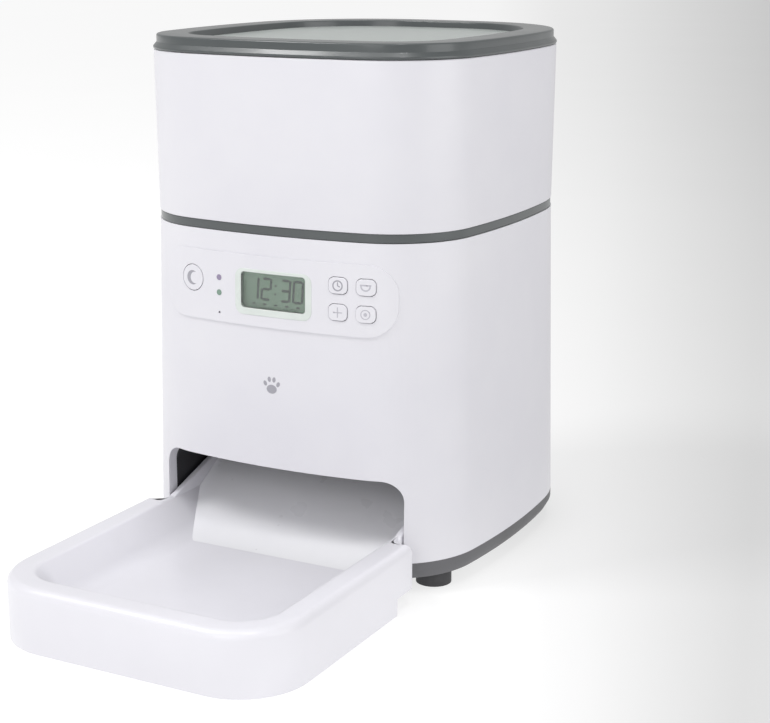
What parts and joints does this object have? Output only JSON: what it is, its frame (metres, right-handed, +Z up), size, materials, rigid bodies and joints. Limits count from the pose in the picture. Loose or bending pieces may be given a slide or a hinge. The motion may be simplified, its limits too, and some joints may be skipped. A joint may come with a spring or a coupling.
{
  "type": "automatic pet feeder",
  "caption": "Countertop automatic pet feeder: windowed lift-off lid, food tank on a motor base with a timer panel, and a sliding food tray in a front bay.",
  "frame": {"origin": "on the surface the feeder stands on, under the middle of its overall length and width", "axes": "+Z up, -Y towards the tray and the control panel, +X to the right seen from the front"},
  "size_m": [0.208, 0.3714, 0.2986],
  "materials": {
    "white_abs": "satin moulded",
    "tray_abs": "gloss moulded",
    "grey_abs": "fine textured",
    "plinth_abs": "fine textured",
    "dark_abs": "fine textured",
    "frosted_pmma": "frosted moulded",
    "clear_pmma": "polished",
    "display_abs": "satin",
    "lcd": "printed",
    "natural_abs": "moulded",
    "silicone": "moulded",
    "rubber_dark": "moulded",
    "acetal": "moulded",
    "steel": "turned",
    "zinc_steel": "zinc plated",
    "brass": "turned",
    "fibreglass": "solder mask",
    "black_plastic": "moulded",
    "cell_jacket": "shrink sleeve",
    "paper": "nonwoven"
  },
  "bodies": {
    "base": {"base_housing": "white_abs", "control_panel": "white_abs", "bottom_cover": "plinth_abs", "foot_front_left": "rubber_dark", "foot_front_right": "rubber_dark", "foot_back_left": "rubber_dark", "foot_back_right": "rubber_dark", "bay_liner": "dark_abs", "food_chute": "dark_abs", "rotor_cup": "natural_abs", "outlet_guard": "natural_abs", "shaft_bush": "brass", "gear_plate": "natural_abs", "mechanism_screws": "zinc_steel", "motor_screws": "zinc_steel", "motor_gearbox": "zinc_steel", "motor_can": "zinc_steel", "position_switch": "black_plastic", "display_frame": "display_abs", "display_lens": "clear_pmma", "lcd_glass": "lcd", "lcd_backlight": "natural_abs", "indicator_lenses": "clear_pmma", "control_board": "fibreglass", "key_switches": "black_plastic", "microphone": "zinc_steel", "main_board": "fibreglass", "board_screws": "zinc_steel", "speaker": "black_plastic", "power_inlet": "black_plastic", "battery_box": "dark_abs", "battery_cells": "cell_jacket", "battery_springs": "zinc_steel", "battery_contacts": "zinc_steel", "bottom_screws": "zinc_steel"},
    "battery_door": {"battery_door": "plinth_abs"},
    "tray": {"food_tray": "tray_abs"},
    "tank": {"tank_shell": "white_abs", "tank_funnel": "natural_abs", "tank_base": "grey_abs"},
    "lid": {"lid_frame": "grey_abs", "lid_window": "frosted_pmma", "lid_gasket": "silicone", "desiccant_box": "grey_abs", "desiccant_cover": "grey_abs", "desiccant_pouch": "paper"},
    "rotor": {"portion_rotor": "natural_abs", "rotor_wipers": "silicone", "rotor_shaft": "steel", "rotor_cap": "acetal", "drive_gear": "acetal"},
    "pinion": {"motor_pinion": "acetal", "motor_output_shaft": "steel"},
    "feed_button": {"feed_button": "white_abs"},
    "key_clock": {"key_clock": "white_abs"},
    "key_meal": {"key_meal": "white_abs"},
    "key_portion": {"key_portion": "white_abs"},
    "key_record": {"key_record": "white_abs"}
  },
  "joints": [
    {"name": "lid_lift", "type": "slide", "parent": "tank", "child": "lid", "axis": [0, 0, 1], "range_m": [0, 0.05]},
    {"name": "tank_lift", "type": "slide", "parent": "base", "child": "tank", "axis": [0, 0, 1], "range_m": [0, 0.04]},
    {"name": "tray_slide", "type": "slide", "parent": "base", "child": "tray", "axis": [0, -1, 0], "range_m": [0, 0.1]},
    {"name": "rotor_spin", "type": "hinge", "parent": "base", "child": "rotor", "pos_m": [0, 0.07175, 0.16], "axis": [0, 0, 1], "continuous": true},
    {"name": "pinion_spin", "type": "hinge", "parent": "base", "child": "pinion", "pos_m": [0, 0.09775, 0.137], "axis": [0, 0, 1], "continuous": true},
    {"name": "battery_door_hinge", "type": "hinge", "parent": "base", "child": "battery_door", "pos_m": [0, 0.08515, 0.0096], "axis": [-1, 0, 0], "range_deg": [0, 95]},
    {"name": "feed_button_press", "type": "slide", "parent": "base", "child": "feed_button", "axis": [0, 1, 0], "range_m": [0, 0.0008], "stiffness_N_per_m": 700},
    {"name": "key_clock_press", "type": "slide", "parent": "base", "child": "key_clock", "axis": [0, 1, 0], "range_m": [0, 0.0008], "stiffness_N_per_m": 700},
    {"name": "key_meal_press", "type": "slide", "parent": "base", "child": "key_meal", "axis": [0, 1, 0], "range_m": [0, 0.0008], "stiffness_N_per_m": 700},
    {"name": "key_portion_press", "type": "slide", "parent": "base", "child": "key_portion", "axis": [0, 1, 0], "range_m": [0, 0.0008], "stiffness_N_per_m": 700},
    {"name": "key_record_press", "type": "slide", "parent": "base", "child": "key_record", "axis": [0, 1, 0], "range_m": [0, 0.0008], "stiffness_N_per_m": 700}
  ],
  "couplings": [
    {"joint": "pinion_spin", "follows": "rotor_spin", "ratio": -3.3333}
  ]
}
